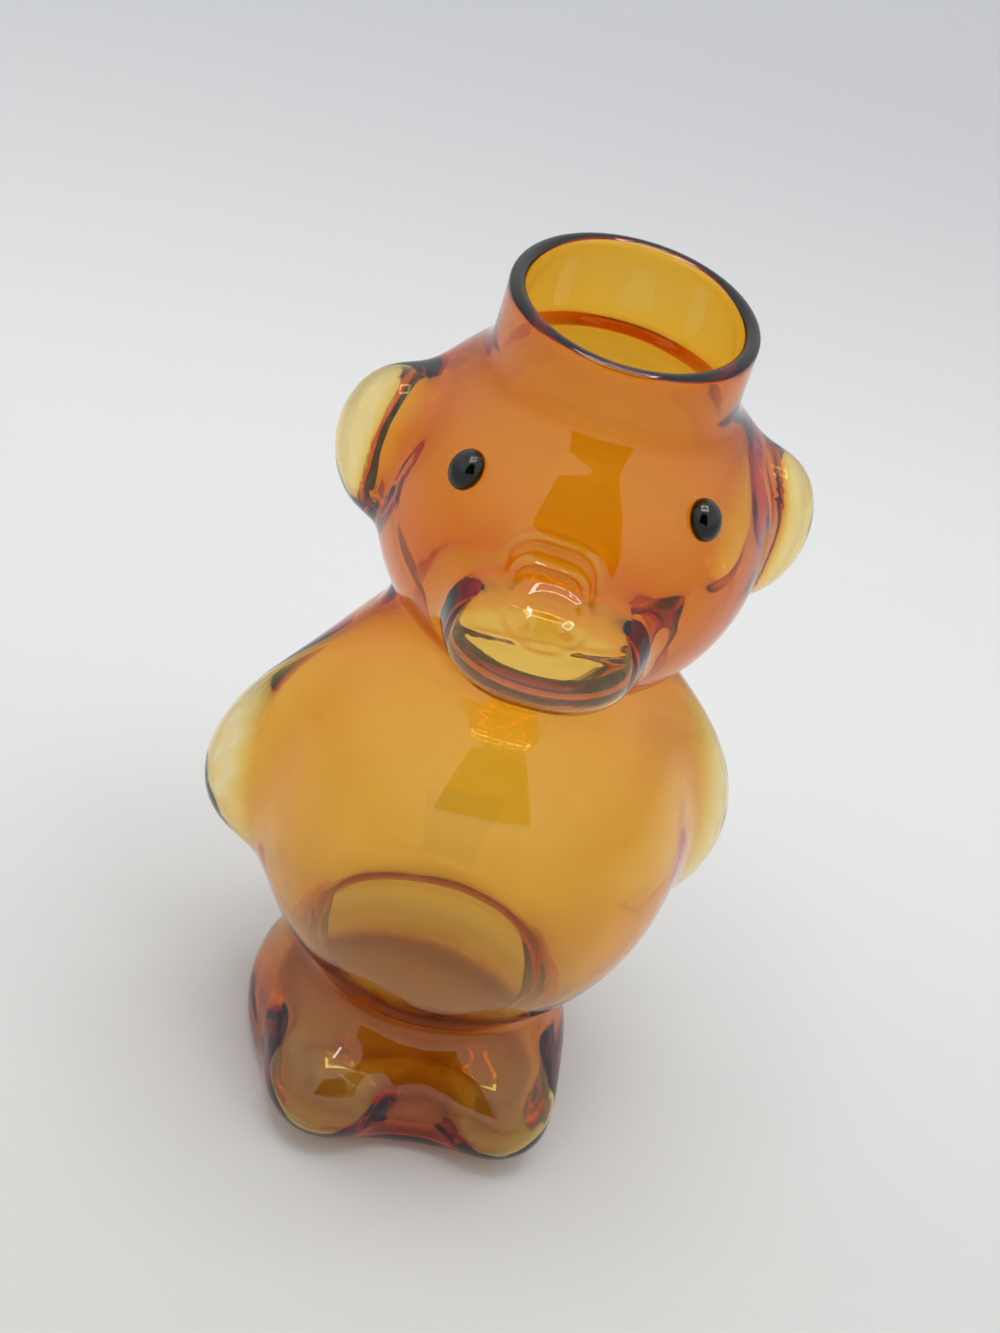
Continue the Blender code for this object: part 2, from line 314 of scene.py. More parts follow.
@dataclass
class Relief:
    """What the mould pressed into the front of the muzzle: nose, nostrils and mouth.

    Places are across and up in a plane that leans back from the muzzle's middle, in metres.

    Attributes:
        nose_middle: The middle of the nose.
        nose_radii: Its half sizes across and up.
        nose_rise: How far it stands proud.
        nose_edge_share: How far its edge slopes, as a share of its half sizes.
        nostril_middles: The middles of the nostrils.
        nostril_radii: Their half sizes across and up.
        nostril_rise: How far they stand proud of the nose.
        mouth_height: The height of the mouth line at its middle.
        mouth_slope: How much it rises towards +X for each metre across.
        mouth_half: Half its length.
        mouth_end_share: Where it starts to fade towards its ends, as a share of that half.
        mouth_depth: How deep it's pressed in.
        mouth_width: How wide it is.
        face_depth: How far in front of the muzzle's middle the relief shows fully.
    """

    nose_middle: tuple = (-0.0014, 0.0030)
    nose_radii: tuple = (0.0078, 0.0056)
    nose_rise: float = 0.0008
    nose_edge_share: float = 0.11
    nostril_middles: tuple = ((-0.0047, 0.0013), (0.0027, 0.0019))
    nostril_radii: tuple = ((0.0014, 0.0022), (0.0016, 0.0012))
    nostril_rise: float = 0.0007
    mouth_height: float = -0.0014
    mouth_slope: float = 0.08
    mouth_half: float = 0.0155
    mouth_end_share: float = 0.8
    mouth_depth: float = 0.00042
    mouth_width: float = 0.0006
    face_depth: float = 0.008

    def rise(self, spot: np.ndarray) -> np.ndarray:
        """How far the glass stands proud at each spot in the relief's own axes.

        The nose is a low oval plateau, the nostrils are two round bumps on it, and the mouth is a
        nearly level groove below them.

        Args:
            spot: Points from the muzzle's middle, in the relief's own axes.

        Returns:
            The rise outwards, in metres.
        """
        across, front, up = np.moveaxis(spot, -1, 0)
        facing = smooth_step(self.face_depth / 2, self.face_depth, -front)
        middle_across, middle_up = self.nose_middle
        half_across, half_up = self.nose_radii
        oval = np.hypot((across - middle_across) / half_across, (up - middle_up) / half_up)
        edge = self.nose_edge_share
        total = self.nose_rise * smooth_step(1 + edge, 1 - edge, oval)
        for middle, radii in zip(self.nostril_middles, self.nostril_radii):
            away = np.hypot((across - middle[0]) / radii[0], (up - middle[1]) / radii[1])
            total = total + self.nostril_rise * np.exp(-away * away)
        away = (up - self.mouth_height - self.mouth_slope * across) / self.mouth_width
        ends = smooth_step(self.mouth_half, self.mouth_half * self.mouth_end_share, np.abs(across))
        return facing * (total - self.mouth_depth * ends * np.exp(-away * away))


@dataclass(frozen=True)
class Net:
    """How finely the vessel is meshed, and where its points crowd.

    Attributes:
        spokes: The points in each ring.
        outer_rings: The rings of the outer skin.
        inner_rings: The rings of the inner skin.
        lip_rings: The rings over the lip.
        walks: How often each point walks towards its skin.
        stride: How much of its distance it walks each time, as a share.
        rounds: How often the net relaxes afterwards.
        face_pull: How much closer together the spokes are at the face, as a share.
        face_spread: How much of that passes from the middle of the face to its sides.
        round_share: Where the outline turns on the belly and the head, as a share of a half size.
        waist_share: How far below the belly's middle the waist is, as a share of its half height.
        collar_share: How far above the head's middle the collar starts, likewise.
        crowding: How close together the rings are at each turn of the outline, from the middle of
            the floor up to the rim.
    """

    spokes: int = 256
    outer_rings: int = 270
    inner_rings: int = 105
    lip_rings: int = 9
    walks: int = 24
    stride: float = 0.8
    rounds: int = 4
    face_pull: float = 0.70
    face_spread: float = 0.02
    round_share: float = 0.7
    waist_share: float = 0.8
    collar_share: float = 0.85
    crowding: tuple = (0.15, 0.7, 0.8, 0.8, 0.35, 0.35, 0.45, 1.2, 2.6, 3.2, 1.2, 0.7, 0.5)


@dataclass
class BearVessel:
    """The hollow glass body: its sizes, its two skins and its mesh, all in metres and degrees.

    Half sizes are across, deep and high. A fillet is how near two bodies melt together.

    Attributes:
        collar_rise: How far the collar of the mouth stands above the head.
        collar_radius: The collar's outer radius.
        head_radii: The head's half sizes.
        head_forward: How far the head's middle is in front of the collar's.
        neck_sink: How far the head and the belly overlap in height.
        belly_radii: The belly's half sizes.
        waist_sink: How far the belly and the lower body overlap in height.
        lower_radii: The lower body's half sizes.
        lower_forward: How far the lower body's middle is in front of the belly's.
        lower_power: 2 for an ellipsoid, and more for a squarer lower body.
        ears: The ears, on the head.
        arms: The arms, on the belly.
        feet: The feet, on the lower body.
        face_turn: How far the face turns towards +X.
        muzzle_sink: How far the muzzle's middle is behind the head's front.
        muzzle_drop: How far it's below the head's middle.
        muzzle_radii: The muzzle's half sizes.
        muzzle_dip: How far the muzzle's front tips down.
        muzzle_power: 2 for an ellipsoid, and more for a squarer muzzle.
        muzzle_fillet: The fillet round the muzzle's lower half.
        bridge_fillet: The fillet at its top, on the bridge of the nose.
        muzzle_thinning: How far it pushes the glass out before the wall is at its thinnest.
        muzzle_fold: How much of its lower fillet gathers as extra glass, as a share.
        relief_tilt: How far the plane of the nose and mouth leans back.
        relief: The nose, the nostrils and the mouth.
        wrinkle_middle: Where the middle of the two folds on the bridge is, across the face.
        wrinkle_foot: How far the folds' feet are above the head's middle.
        wrinkle_tops: How far their tops are above it.
        wrinkle_halves: Half their widths.
        wrinkle_height: How far they stand proud.
        wrinkle_width: How wide their ridges are.
        wrinkle_power: 2 for elliptic arches, and more for squarer ones.
        wrinkle_fade: Over how many ridge widths their feet fade.
        rim_wall: The wall's thickness in the rim.
        collar_wall: The same at the foot of the collar.
        head_wall: The same at the head's middle.
        neck_wall: The same in the neck.
        high_belly_wall: The same half way up from the belly's middle.
        low_belly_wall: The same half way down from it.
        lower_wall: The same at the front of the lower body.
        lower_back_wall: The same at its back.
        base_wall: The thickness of the floor.
        thin_share: How much of the wall is left where it's thinnest, as a share.
        inner_relief: How much of the face's relief shows inside, as a share.
        waist_fillet: The fillet between the belly and the lower body.
        neck_fillet: The fillet between the head and the belly, in front.
        nape_fillet: The same behind.
        nape_start: The Y at which the neck starts to turn into the nape.
        nape_end: The Y at which it's all nape.
        collar_fillet: The fillet between the head and the collar.
        floor_fillet: The fillet round the foot of the glass.
        hollow_fillet: The fillet round the floor inside.
        net: How the vessel is meshed.
    """

    collar_rise: float = 0.0087
    collar_radius: float = 0.0230
    head_radii: tuple = (0.0366, 0.0371, 0.0362)
    head_forward: float = 0.0015
    neck_sink: float = 0.0064
    belly_radii: tuple = (0.04398, 0.04397, 0.0488)
    waist_sink: float = 0.0103
    lower_radii: tuple = (0.0349, 0.0327, 0.0236)
    lower_forward: float = 0.0016
    lower_power: float = 2.1
    ears: PairSizes = field(
        default_factory=lambda: PairSizes(
            place=(0.0347, 0.0037, 0.0020),
            radii=(0.0110, 0.0105, 0.0159),
            lean=9.6,
            fillet=0.0042,
            top_fillet=0.0155,
            thinning=0.0048,
            lift=-0.0018,
            fold=0.25,
        )
    )
    arms: PairSizes = field(
        default_factory=lambda: PairSizes(
            place=(0.0287, 0.0045, 0.0061),
            radii=(0.0229, 0.0138, 0.0311),
            lean=-32.0,
            fillet=0.0109,
            top_fillet=0.0156,
            thinning=0.0075,
            lift=0.0011,
            twist=5.6,
        )
    )
    feet: PairSizes = field(
        default_factory=lambda: PairSizes(
            place=(0.0186, -0.0264, 0.0022),
            radii=(0.0112, 0.0122, 0.0080),
            lean=0.0,
            fillet=0.0170,
            top_fillet=0.0270,
            thinning=0.0065,
        )
    )
    face_turn: float = -9.0
    muzzle_sink: float = 0.0062
    muzzle_drop: float = 0.0055
    muzzle_radii: tuple = (0.0185, 0.0145, 0.0135)
    muzzle_dip: float = 5.4
    muzzle_power: float = 2.4
    muzzle_fillet: float = 0.0050
    bridge_fillet: float = 0.0100
    muzzle_thinning: float = 0.0058
    muzzle_fold: float = 0.5
    relief_tilt: float = 32.0
    relief: Relief = field(default_factory=Relief)
    wrinkle_middle: float = -0.0025
    wrinkle_foot: float = 0.0066
    wrinkle_tops: tuple = (0.0150, 0.0112)
    wrinkle_halves: tuple = (0.0084, 0.0064)
    wrinkle_height: float = 0.00055
    wrinkle_width: float = 0.0008
    wrinkle_power: int = 3
    wrinkle_fade: int = 3
    rim_wall: float = 0.0030
    collar_wall: float = 0.0028
    head_wall: float = 0.0031
    neck_wall: float = 0.0024
    high_belly_wall: float = 0.0021
    low_belly_wall: float = 0.0014
    lower_wall: float = 0.0033
    lower_back_wall: float = 0.0010
    base_wall: float = 0.0013
    thin_share: float = 0.16
    inner_relief: float = 0.6
    waist_fillet: float = 0.0145
    neck_fillet: float = 0.0090
    nape_fillet: float = 0.0420
    nape_start: float = -0.0100
    nape_end: float = 0.0080
    collar_fillet: float = 0.0060
    floor_fillet: float = 0.0052
    hollow_fillet: float = 0.0085
    net: Net = Net()

    def __post_init__(self) -> None:
        """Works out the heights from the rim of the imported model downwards, and makes the lumps."""
        self.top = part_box("glass_body")[1].z
        self.head_height = self.top - self.collar_rise - self.head_radii[2]
        neck = self.belly_radii[2] + self.head_radii[2] - self.neck_sink
        self.belly_height = self.head_height - neck
        waist = self.lower_radii[2] + self.belly_radii[2] - self.waist_sink
        self.lower_height = self.belly_height - waist
        head = np.array((0, -self.head_forward, self.head_height))
        belly = np.array((0, 0, self.belly_height))
        lower = np.array((0, -self.lower_forward, self.lower_height))
        plain = np.eye(3)
        self.head = Lump(head, np.array(self.head_radii), plain)
        self.belly = Lump(belly, np.array(self.belly_radii), plain)
        self.lower = Lump(lower, np.array(self.lower_radii), plain, self.lower_power)
        self.bulges = [*self.ears.lumps(head), *self.arms.lumps(belly), *self.feet.lumps(lower)]
        self.face_axes = turned(about_z=self.face_turn)
        self.relief_axes = self.face_axes @ turned(about_x=-self.relief_tilt)
        reach = self.head_forward + self.head_radii[1] - self.muzzle_sink
        place = np.array((0, -reach, -self.muzzle_drop))
        self.muzzle = Lump(
            UP * self.head_height + self.face_axes @ place,
            np.array(self.muzzle_radii),
            self.face_axes @ turned(about_x=self.muzzle_dip),
            self.muzzle_power,
            self.muzzle_fillet,
            self.bridge_fillet,
            self.muzzle_thinning,
            self.muzzle_fold,
        )

    def stack(self, points: np.ndarray) -> np.ndarray:
        """How far points lie outside the plain stack: lower body, belly, head and collar.

        Args:
            points: Where to measure.

        Returns:
            The distances, below zero inside.
        """
        across = np.hypot(points[..., 0], points[..., 1])
        collar = np.maximum(across - self.collar_radius, self.head_height - points[..., 2])
        whole = joined(
            self.belly.distance(points), self.lower.distance(points), self.waist_fillet
        )
        behind = smooth_step(self.nape_start, self.nape_end, points[..., 1])
        neck = self.neck_fillet + (self.nape_fillet - self.neck_fillet) * behind
        whole = joined(whole, self.head.distance(points), neck)
        return joined(whole, collar, self.collar_fillet)

    def swollen(
        self, points: np.ndarray, relief: float = 1.0
    ) -> tuple[np.ndarray, np.ndarray, np.ndarray]:
        """The stack with its ears, arms, feet and muzzle, and what blowing did to its wall.

        Args:
            points: Where to measure.
            relief: The share of the face's relief that shows.

        Returns:
            The distances, below zero inside, the share of thinning from 0 to 1, and the extra
            glass gathered in the folds, in metres.
        """
        stack = self.stack(points)
        whole = stack
        thin = 0 * stack
        gathered = 0 * stack
        rise = self.relief.rise((points - self.muzzle.centre) @ self.relief_axes) * relief
        for bulge in (*self.bulges, self.muzzle):
            body = bulge.distance(points) - (rise if bulge is self.muzzle else 0)
            melt = bulge.melt(points)
            pushed = stack - joined(stack, body, melt)
            thin = np.maximum(thin, smooth_step(0, bulge.thinning, pushed))
            plain = np.minimum(whole, body)
            whole = joined(whole, body, melt)
            if bulge.fold:
                gathered = gathered + (plain - whole) * bulge.fold * (1 - bulge.topness(points))
        return whole - self.wrinkles(points) * relief, thin, gathered

    def glass(self, points: np.ndarray) -> np.ndarray:
        """How far points lie outside the glass, which stands flat on z = 0."""
        return -joined(-self.swollen(points)[0], points[..., 2], self.floor_fillet)

    def hollow(self, points: np.ndarray) -> np.ndarray:
        """How far points lie outside the hollow.

        The wall is thinner the further the bulges push it out of the stack, because hot glass
        stretches as it's blown into them, thinner at the back of the lower body than at its
        front, and thicker in the rim.

        Args:
            points: Where to measure.

        Returns:
            The distances, below zero inside.
        """
        outside, thin, gathered = self.swollen(points, self.inner_relief)
        height = points[..., 2]
        half_belly = self.belly_radii[2] / 2
        neck = self.belly_height + self.belly_radii[2] - self.neck_sink / 2
        stops = (
            self.lower_height,
            self.belly_height - half_belly,
            self.belly_height + half_belly,
            neck,
            self.head_height,
            self.top - self.collar_rise,
        )
        walls = (
            self.lower_wall,
            self.low_belly_wall,
            self.high_belly_wall,
            self.neck_wall,
            self.head_wall,
            self.collar_wall,
        )
        front = np.interp(height, stops, walls)
        back = np.interp(height, stops, (self.lower_back_wall, *walls[1:]))
        behind = smooth_step(0, self.lower_radii[1] / 2, points[..., 1])
        wall = front + (back - front) * behind
        wall = wall * (1 - (1 - self.thin_share) * thin) + gathered
        rim = smooth_step(self.top - 2 * self.rim_wall, self.top - self.rim_wall / 2, height)
        wall = wall + (self.rim_wall - wall) * rim
        return -joined(-outside - wall, height - self.base_wall, self.hollow_fillet)

    def wrinkles(self, points: np.ndarray) -> np.ndarray:
        """How far two low arched folds between the eyes stand proud.

        Each arch runs where the powers of its shares across and up add up to 1.

        Args:
            points: Where to measure.

        Returns:
            The rise outwards, in metres.
        """
        spot = (points - UP * self.head_height) @ self.face_axes
        above = spot[..., 2] - self.wrinkle_foot
        shown = smooth_step(0, self.wrinkle_width * self.wrinkle_fade, above)
        power = self.wrinkle_power
        total = 0 * above
        for top, half in zip(self.wrinkle_tops, self.wrinkle_halves):
            across = np.abs((spot[..., 0] - self.wrinkle_middle) / half)
            along = np.maximum(above, 0) / (top - self.wrinkle_foot)
            away = ((across**power + along**power) ** (1 / power) - 1) * half / self.wrinkle_width
            total = total + np.exp(-away * away) * shown
        return self.wrinkle_height * total * smooth_step(0, self.head_radii[1] / 2, -spot[..., 1])

    def headings(self) -> np.ndarray:
        """Level directions, closer together towards the face.

        Returns:
            One unit vector for each spoke, turning from -Y towards +X.
        """
        net = self.net
        even = np.linspace(0, 2 * np.pi, net.spokes, endpoint=False)
        angle = even - net.face_pull * np.sin(even) + net.face_spread * np.sin(2 * even)
        return np.stack((np.sin(angle), -np.cos(angle), 0 * angle), -1)

    def aims(self, rings: int) -> tuple[np.ndarray, np.ndarray]:
        """Where each ring is looked for.

        Args:
            rings: How many rings the skin has.

        Returns:
            The height on the axis to look from, and the point (radius, height) to look at, for
            each ring. The points run up a plain turned outline of the vessel.
        """
        lower_side, lower_depth, _ = self.lower_radii
        belly_side, _, belly_rise = self.belly_radii
        head_side, _, head_rise = self.head_radii
        low, mid, high = self.lower_height, self.belly_height, self.head_height
        share = self.net.round_share
        waist = mid - self.net.waist_share * belly_rise
        neck = (mid + belly_rise + high - head_rise) / 2
        base = high + self.net.collar_share * head_rise
        end = self.top - self.rim_wall / 2
        stops = (
            (0, 0, low),
            (lower_depth, 0, low),
            (lower_side, low, low),
            (lower_depth, waist, waist),
            (share * belly_side, mid - share * belly_rise, mid),
            (belly_side, mid, mid),
            (share * belly_side, mid + share * belly_rise, mid),
            (self.collar_radius, neck, neck),
            (share * head_side, high - share * head_rise, high),
            (head_side, high, high),
            (share * head_side, high + share * head_rise, high),
            (self.collar_radius, base, base),
            (self.collar_radius, end, end),
        )
        radii, heights, looks = np.array(stops).T
        crowding = np.array(self.net.crowding)
        run = np.hypot(np.diff(radii), np.diff(heights)) * (crowding[1:] + crowding[:-1]) / 2
        along = np.concatenate(((0,), np.cumsum(run)))
        here = np.linspace(0, along[-1], rings)
        target = np.stack((np.interp(here, along, radii), np.interp(here, along, heights)), -1)
        return np.interp(here, along, looks), target

    def skin(self, surface: Field, rings: int, rim_radius: float) -> np.ndarray:
        """Rings of points where a field is zero, from the middle of the floor up to the rim.

        Each point walks out along its own line by a share of its distance until it stops. Then
        the net relaxes: each point moves half way to the mean of its four neighbours and back
        along the slope on to the surface.

        Args:
            surface: The distance field.
            rings: How many rings.
            rim_radius: The radius of the last ring.

        Returns:
            An array of rings by spokes by 3.
        """
        focus, target = self.aims(rings)
        heading = self.headings()
        start = np.zeros((rings, 1, 3))
        start[:, 0, 2] = focus
        way = target[:, :1, None] * heading + (target[:, 1] - focus)[:, None, None] * UP
        way = way / np.linalg.norm(way, axis=-1, keepdims=True)
        reach = np.full(way.shape[:2], self.top / 2)
        for _ in range(self.net.walks):
            reach = reach - surface(start + way * reach[..., None]) * self.net.stride
        points = start + way * reach[..., None]
        points[0] = points[0].mean(0)
        points[-1] = heading * rim_radius + UP * (self.top - self.rim_wall / 2)
        for _ in range(self.net.rounds):
            around = (np.roll(points, 1, 1) + np.roll(points, -1, 1))[1:-1]
            middle = (around + points[:-2] + points[2:]) / 4
            inner = (points[1:-1] + middle) / 2
            inner = inner - slope_of(surface, inner) * surface(inner)[..., None]
            points[1:-1] = inner
        return points

    def lip(self) -> np.ndarray:
        """The fire-polished rim: a half round from the outer wall over to the inner one.

        Returns:
            An array of rings by spokes by 3, without the first and last rings, which the skins
            already have.
        """
        half = self.rim_wall / 2
        bend = np.linspace(0, np.pi, self.net.lip_rings + 2)[1:-1]
        radius = self.collar_radius - half + half * np.cos(bend)
        height = self.top - half + half * np.sin(bend)
        return self.headings() * radius[:, None, None] + UP * height[:, None, None]

    def build(self, finish: bpy.types.Material) -> bpy.types.Object:
        """Makes the vessel's mesh.

        Args:
            finish: The amber glass.

        Returns:
            The vessel as one closed piece.
        """
        outer = self.skin(self.glass, self.net.outer_rings, self.collar_radius)
        mouth = self.collar_radius - self.rim_wall
        inner = self.skin(self.hollow, self.net.inner_rings, mouth)
        rings = np.concatenate((outer, self.lip(), inner[::-1]))
        return closed_net("amber_vessel", rings, finish)


@dataclass
class EyeBead:
    """A domed bead of dark glass fused to the head, in metres.

    Attributes:
        vessel: What the bead sits on.
        side: Which of the bear's eyes it is.
        node: The CAD node that the bead stands for.
        out: How far it is from the middle of the face.
        rise: How far it is above the head's middle.
        half_width: Half its width.
        half_height: Half its height.
        bulge: How far its dome stands above its edge.
        edge: How thick its edge is.
        gap: How far it stays off the head.
        spokes: The points in each of its rings.
        rings: The rings from its middle to its edge.
        finding: How often its middle walks towards the head.
        settling: How often its back does.
    """

    vessel: BearVessel
    side: Side
    node: str
    out: float
    rise: float
    half_width: float = 0.0032
    half_height: float = 0.0039
    bulge: float = 0.0026
    edge: float = 0.0005
    gap: float = 0.00006
    spokes: int = 64
    rings: int = 20
    finding: int = 60
    settling: int = 30

    def build(self, finish: bpy.types.Material) -> bpy.types.Object:
        """Makes the bead's mesh.

        Args:
            finish: The dark glass.

        Returns:
            The bead as one closed piece.
        """
        vessel = self.vessel
        forward = vessel.face_axes @ FORWARD
        aside = vessel.face_axes @ np.array((self.side.value * self.out, 0, self.rise))
        middle = UP * vessel.head_height + aside + forward * vessel.head_radii[1]
        for _ in range(self.finding):
            middle = middle - forward * vessel.glass(middle)
        outward = slope_of(vessel.glass, middle)
        across = np.cross(UP, outward)
        across = across / np.linalg.norm(across)
        up = np.cross(outward, across)
        angle = np.linspace(0, 2 * np.pi, self.spokes, endpoint=False)
        share = np.sin(np.linspace(0, np.pi / 2, self.rings + 1))[:, None]
        sideways = (share * np.cos(angle))[..., None] * across * self.half_width
        upward = (share * np.sin(angle))[..., None] * up * self.half_height
        back = middle + sideways + upward + outward * self.gap
        for _ in range(self.settling):
            back = back - outward * (vessel.glass(back) - self.gap)[..., None]
        depth = self.edge + self.bulge * np.sqrt(1 - share**2)
        front = back + outward * depth[..., None]
        return closed_net(self.node + "_bead", np.concatenate((back, front[::-1])), finish)


def new_paint(name: str) -> tuple[bpy.types.Material, bpy.types.Node]:
    """Makes a material.

    Args:
        name: The material's name.

    Returns:
        The material and its shader, a Principled one.
    """
    paint = bpy.data.materials.new(name)
    paint.use_nodes = True
    return paint, paint.node_tree.nodes["Principled BSDF"]


def add_socket(tree: bpy.types.NodeTree, name: str, way: Socket, value: float = 0.0) -> None:
    """Gives a node group a number to take in or put out.

    Args:
        tree: The node group.
        name: The socket's name.
        way: Which way it leads.
        value: What an input holds until it's set.
    """
    socket = tree.interface.new_socket(name, in_out=way.value, socket_type="NodeSocketFloat")
    if way is Socket.INPUT:
        socket.default_value = value


@dataclass(frozen=True)
class Ripple:
    """The slow unevenness of blown glass, and the faint haze of handling on it.

    Attributes:
        name: The node group's name.
        waves: Slow waves per metre.
        wave_detail: How many finer layers of waves lie over them.
        hazes: Patches of haze per metre.
        haze_detail: How many finer layers of patches lie over them.
        clear_share: How much of the patches' range leaves the glass clear.
        softest: The roughness of the haze at its heaviest.
    """

    name: str = "blown_surface"
    waves: float = 55.0
    wave_detail: float = 1.0
    hazes: float = 140.0
    haze_detail: float = 3.0
    clear_share: float = 0.5
    softest: float = 0.035

    def group(self) -> bpy.types.NodeTree:
        """Makes the node group, or finds it.

        Returns:
            A group that puts out a height from 0 to 1 and a roughness.
        """
        known = bpy.data.node_groups.get(self.name)
        if known:
            return known
        tree = bpy.data.node_groups.new(self.name, "ShaderNodeTree")
        add_socket(tree, "Waves per Metre", Socket.INPUT, self.waves)
        add_socket(tree, "Hazes per Metre", Socket.INPUT, self.hazes)
        add_socket(tree, "Softest", Socket.INPUT, self.softest)
        add_socket(tree, "Height", Socket.OUTPUT)
        add_socket(tree, "Roughness", Socket.OUTPUT)
        given = tree.nodes.new("NodeGroupInput")
        made = tree.nodes.new("NodeGroupOutput")
        place = tree.nodes.new("ShaderNodeTexCoord")
        waves = tree.nodes.new("ShaderNodeTexNoise")
        waves.inputs["Detail"].default_value = self.wave_detail
        hazes = tree.nodes.new("ShaderNodeTexNoise")
        hazes.inputs["Detail"].default_value = self.haze_detail
        soften = tree.nodes.new("ShaderNodeMapRange")
        soften.inputs["From Min"].default_value = self.clear_share
        tree.links.new(place.outputs["Object"], waves.inputs["Vector"])
        tree.links.new(place.outputs["Object"], hazes.inputs["Vector"])
        tree.links.new(given.outputs["Waves per Metre"], waves.inputs["Scale"])
        tree.links.new(given.outputs["Hazes per Metre"], hazes.inputs["Scale"])
        tree.links.new(given.outputs["Softest"], soften.inputs["To Max"])
        tree.links.new(hazes.outputs["Fac"], soften.inputs["Value"])
        tree.links.new(waves.outputs["Fac"], made.inputs["Height"])
        tree.links.new(soften.outputs["Result"], made.inputs["Roughness"])
        return tree


@dataclass(frozen=True)
class Glass:
    """Clear glass with a colour that deepens with its thickness.

    Attributes:
        name: The material's name.
        absorbed: How much of red, green and blue a metre of the glass takes off, as exponents.
        wave_depth: How deep the surface's slow waves are, in metres.
        ior: How strongly it bends light.
    """

    name: str
    absorbed: tuple
    wave_depth: float = 0.0003
    ior: float = 1.5

    def material(self) -> bpy.types.Material:
        """Makes the material.

        Returns:
            A Principled glass with plain absorption inside.
        """
        made, shader = new_paint(self.name)
        tree = made.node_tree
        shader.inputs["Base Color"].default_value = (1, 1, 1, 1)
        shader.inputs["Transmission Weight"].default_value = 1
        shader.inputs["Metallic"].default_value = 0
        shader.inputs["IOR"].default_value = self.ior
        surface = tree.nodes.new("ShaderNodeGroup")
        surface.node_tree = Ripple().group()
        bump = tree.nodes.new("ShaderNodeBump")
        bump.inputs["Strength"].default_value = 1
        bump.inputs["Distance"].default_value = self.wave_depth
        tree.links.new(surface.outputs["Height"], bump.inputs["Height"])
        tree.links.new(bump.outputs["Normal"], shader.inputs["Normal"])
        tree.links.new(surface.outputs["Roughness"], shader.inputs["Roughness"])
        density = max(self.absorbed)
        volume = tree.nodes.new("ShaderNodeVolumeAbsorption")
        volume.inputs["Color"].default_value = (*(1 - each / density for each in self.absorbed), 1)
        volume.inputs["Density"].default_value = density
        tree.links.new(volume.outputs["Volume"], tree.nodes["Material Output"].inputs["Volume"])
        return made


AMBER = Glass("amber_glass", absorbed=(44, 228, 960))
SMOKE = Glass("eye_glass", absorbed=(2600, 1700, 2000))


